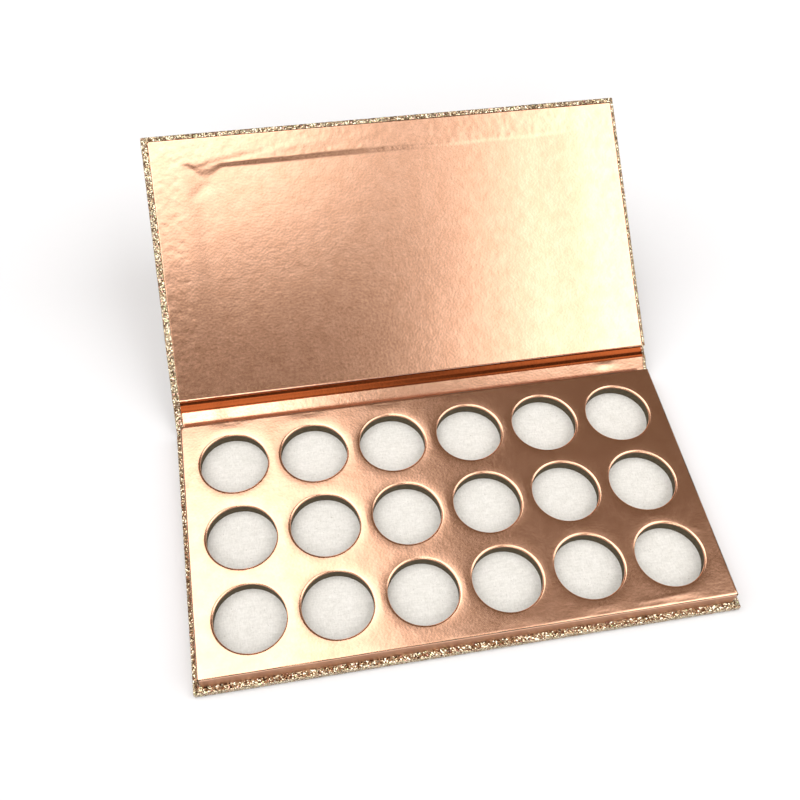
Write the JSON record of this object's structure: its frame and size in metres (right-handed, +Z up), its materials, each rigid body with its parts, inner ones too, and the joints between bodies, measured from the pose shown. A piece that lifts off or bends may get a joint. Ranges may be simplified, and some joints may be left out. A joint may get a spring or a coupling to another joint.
{
  "type": "eyeshadow palette",
  "caption": "Empty magnetic eyeshadow palette: rose gold foil tray with round pan wells in a book-style cardboard case covered in glitter paper, with a double-fold spine and a lined lid.",
  "frame": {"origin": "on the underside of the base, below the middle of the tray", "axes": "+X to the right along the long side, +Y from the front edge towards the spine, +Z up from the surface the palette lies on"},
  "size_m": [0.2042, 0.2133, 0.0713],
  "materials": {
    "greyboard": "matt grey cardboard",
    "greyboard_dark": "matt dark grey cut cardboard",
    "glitter_paper": "coarse champagne and rose gold glitter",
    "foil_paper": "rose gold metallic foil, lightly pebbled, satin gloss",
    "white_card": "matt white card with fine fibres",
    "magnet_sheet": "matt flexible magnet",
    "magnet": "nickel plated"
  },
  "bodies": {
    "base": {"base_board": "greyboard", "base_glitter_wrap": "glitter_paper", "tray_core_board": "greyboard_dark", "tray_foil_wrap": "foil_paper", "well_floor_card": "white_card", "pan_magnet_sheet": "magnet_sheet", "tray_magnet_left": "magnet", "tray_magnet_right": "magnet"},
    "spine": {"spine_board": "greyboard", "spine_glitter_wrap": "glitter_paper", "spine_foil_lining": "foil_paper", "lower_fold_glitter_paper": "glitter_paper", "lower_fold_foil_paper": "foil_paper"},
    "lid": {"lid_board": "greyboard", "lid_glitter_wrap": "glitter_paper", "lid_foil_lining": "foil_paper", "lid_magnet_left": "magnet", "lid_magnet_right": "magnet", "upper_fold_glitter_paper": "glitter_paper", "upper_fold_foil_paper": "foil_paper"}
  },
  "joints": [
    {"name": "spine_fold", "type": "hinge", "parent": "base", "child": "spine", "pos_m": [0, 0.05527, 0.00013], "axis": [1, 0, 0], "range_deg": [-33.5, 50], "deforming": ["lower_fold_glitter_paper", "lower_fold_foil_paper"]},
    {"name": "lid_fold", "type": "hinge", "parent": "spine", "child": "lid", "pos_m": [0, 0.06416, 0.00758], "axis": [1, 0, 0], "range_deg": [0, 96.5], "deforming": ["upper_fold_glitter_paper", "upper_fold_foil_paper"]}
  ]
}
